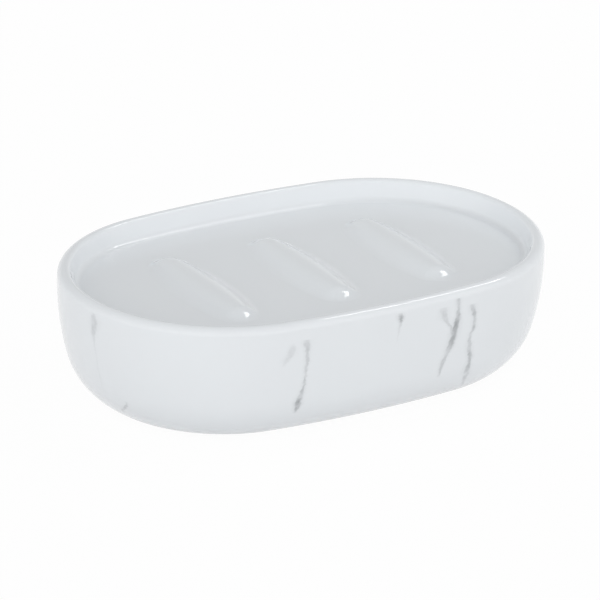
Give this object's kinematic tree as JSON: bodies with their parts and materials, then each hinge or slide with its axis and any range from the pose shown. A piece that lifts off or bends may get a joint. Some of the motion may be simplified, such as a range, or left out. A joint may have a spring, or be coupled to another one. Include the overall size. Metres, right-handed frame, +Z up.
{
  "type": "soap dish",
  "caption": "Oval glazed ceramic soap dish with a shallow ribbed tray, a hollow cast body, non-slip pads and a vent stopper.",
  "frame": {"origin": "on the surface that the dish stands on, under the middle of the dish", "axes": "+X along the dish's length, +Y across it, +Z up out of the tray"},
  "size_m": [0.135, 0.0884, 0.0343],
  "materials": {
    "glaze": "gloss",
    "pad_silicone": "satin",
    "plug_silicone": "satin"
  },
  "bodies": {
    "root": {"dish_body": "glaze", "pad_front_left": "pad_silicone", "pad_front_right": "pad_silicone", "pad_back_left": "pad_silicone", "pad_back_right": "pad_silicone", "vent_plug": "plug_silicone"}
  },
  "joints": []
}
